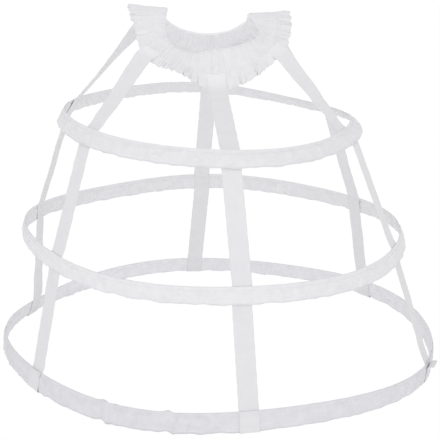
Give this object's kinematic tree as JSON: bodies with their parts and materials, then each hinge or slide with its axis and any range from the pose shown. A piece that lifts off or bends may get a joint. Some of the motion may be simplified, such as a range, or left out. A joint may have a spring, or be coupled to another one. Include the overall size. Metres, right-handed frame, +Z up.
{
  "type": "crinoline cage",
  "caption": "White crinoline cage: boned hoops in fabric casings, hung on tapes from a gathered elastic waistband, to hold out a long skirt.",
  "frame": {"origin": "centre of the hem hoop's bounding box, at the lowest point the cage stands on", "axes": "+Z up towards the waistband, front facing -Y, +X to the viewer's right"},
  "size_m": [0.6648, 0.6502, 0.5306],
  "materials": {
    "band_cotton": "plain woven cotton, gathered",
    "elastic_webbing": "woven elastic",
    "tape_twill": "twill tape",
    "casing_cotton": "plain woven cotton, creased",
    "bone_plastic": "moulded strip",
    "joiner_steel": "folded sheet"
  },
  "bodies": {
    "root": {"waistband": "band_cotton", "waist_elastic": "elastic_webbing", "tape_front": "tape_twill", "tape_front_right": "tape_twill", "tape_back_right": "tape_twill", "tape_back": "tape_twill", "tape_back_left": "tape_twill", "tape_front_left": "tape_twill", "casing_hem": "casing_cotton", "casing_middle": "casing_cotton", "casing_top": "casing_cotton", "bone_hem": "bone_plastic", "bone_middle": "bone_plastic", "bone_top": "bone_plastic", "joiner_hem": "joiner_steel", "joiner_middle": "joiner_steel", "joiner_top": "joiner_steel"}
  },
  "joints": []
}
